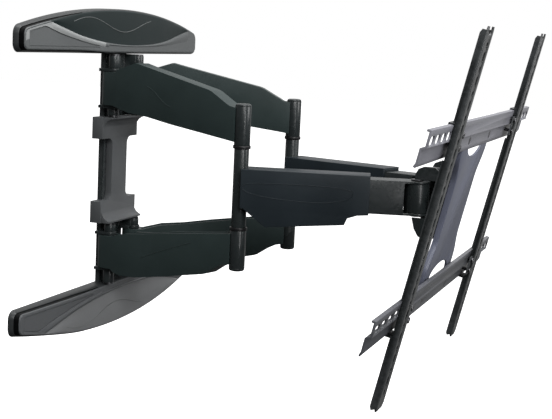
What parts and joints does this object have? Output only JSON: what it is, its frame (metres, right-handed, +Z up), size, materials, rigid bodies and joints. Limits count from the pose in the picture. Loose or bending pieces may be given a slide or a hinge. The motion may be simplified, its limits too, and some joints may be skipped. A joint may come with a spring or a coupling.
{
  "type": "tv wall mount",
  "caption": "Full motion wall mount with paired folding arms, plastic wall covers, a tilting swivel head and a screen plate of rails and slotted brackets",
  "frame": {"origin": "centre of the wall bolt pattern, on the wall plane", "axes": "+Z up, +Y into the wall, so the screen side faces -Y, +X to the right seen from the screen side"},
  "size_m": [0.64, 0.5497, 0.4362],
  "materials": {
    "black_steel": "black powder coat, fine texture",
    "black_plastic": "satin black moulded plastic with fine grain",
    "dark_zinc": "black zinc plated steel",
    "nylon": "smooth black nylon"
  },
  "bodies": {
    "wall": {"wall_plate_top": "black_steel", "wall_plate_bottom": "black_steel", "wall_column": "black_steel", "column_screws": "dark_zinc", "top_cover": "black_plastic", "bottom_cover": "black_plastic", "mid_cover": "black_plastic", "wall_pins": "dark_zinc", "wall_spacers": "black_steel"},
    "left_arm": {"left_upper_arm": "black_steel", "left_upper_arm_cover": "black_plastic", "left_lower_arm": "black_steel", "left_lower_arm_cover": "black_plastic", "left_arm_bushes": "nylon", "left_elbow_pin": "dark_zinc", "left_elbow_caps": "black_steel"},
    "right_arm": {"right_upper_arm": "black_steel", "right_upper_arm_cover": "black_plastic", "right_lower_arm": "black_steel", "right_lower_arm_cover": "black_plastic", "right_arm_bushes": "nylon", "right_elbow_pin": "dark_zinc", "right_elbow_caps": "black_steel"},
    "left_fore": {"left_forearm": "black_steel", "left_forearm_cover": "black_plastic", "left_elbow_rings": "nylon"},
    "right_fore": {"right_forearm": "black_steel", "right_forearm_cover": "black_plastic", "right_elbow_rings": "nylon"},
    "head": {"head_yoke": "black_steel", "head_pins": "dark_zinc", "swivel_bolt": "dark_zinc", "swivel_nut": "dark_zinc"},
    "swivel_head": {"swivel_bracket": "black_steel", "tilt_bolts": "dark_zinc"},
    "screen_plate": {"center_plate": "black_steel", "upper_rail": "black_steel", "lower_rail": "black_steel", "rail_bolts": "dark_zinc"},
    "left_bracket": {"left_tv_bracket": "black_steel", "left_bracket_hooks": "black_steel", "left_clamp_screws": "dark_zinc"},
    "right_bracket": {"right_tv_bracket": "black_steel", "right_bracket_hooks": "black_steel", "right_clamp_screws": "dark_zinc"}
  },
  "joints": [
    {"name": "extend", "type": "hinge", "parent": "wall", "child": "left_arm", "pos_m": [-0.035, -0.023, 0], "axis": [0, 0, 1], "range_deg": [-60, 10]},
    {"name": "left_elbow", "type": "hinge", "parent": "left_arm", "child": "left_fore", "pos_m": [-0.09509, -0.23256, 0], "axis": [0, 0, 1], "range_deg": [-20, 120]},
    {"name": "head_pivot", "type": "hinge", "parent": "left_fore", "child": "head", "pos_m": [-0.035, -0.44211, 0], "axis": [0, 0, 1], "range_deg": [-60, 10]},
    {"name": "right_hinge", "type": "hinge", "parent": "wall", "child": "right_arm", "pos_m": [0.035, -0.023, 0], "axis": [0, 0, 1], "range_deg": [-10, 60]},
    {"name": "right_elbow", "type": "hinge", "parent": "right_arm", "child": "right_fore", "pos_m": [0.09509, -0.23256, 0], "axis": [0, 0, 1], "range_deg": [-120, 20]},
    {"name": "swivel", "type": "hinge", "parent": "head", "child": "swivel_head", "pos_m": [0, -0.45201, 0], "axis": [0, 0, 1], "range_deg": [-12, 12]},
    {"name": "tilt", "type": "hinge", "parent": "swivel_head", "child": "screen_plate", "pos_m": [0, -0.47401, 0], "axis": [1, 0, 0], "range_deg": [-17.7, 2.3]},
    {"name": "left_slide", "type": "slide", "parent": "screen_plate", "child": "left_bracket", "axis": [1, 0, 0], "range_m": [-0.1, 0.095]},
    {"name": "right_slide", "type": "slide", "parent": "screen_plate", "child": "right_bracket", "axis": [1, 0, 0], "range_m": [-0.095, 0.1]}
  ],
  "couplings": [
    {"joint": "left_elbow", "follows": "extend", "ratio": -2},
    {"joint": "head_pivot", "follows": "extend", "ratio": 1},
    {"joint": "right_hinge", "follows": "extend", "ratio": -1},
    {"joint": "right_elbow", "follows": "extend", "ratio": 2}
  ]
}
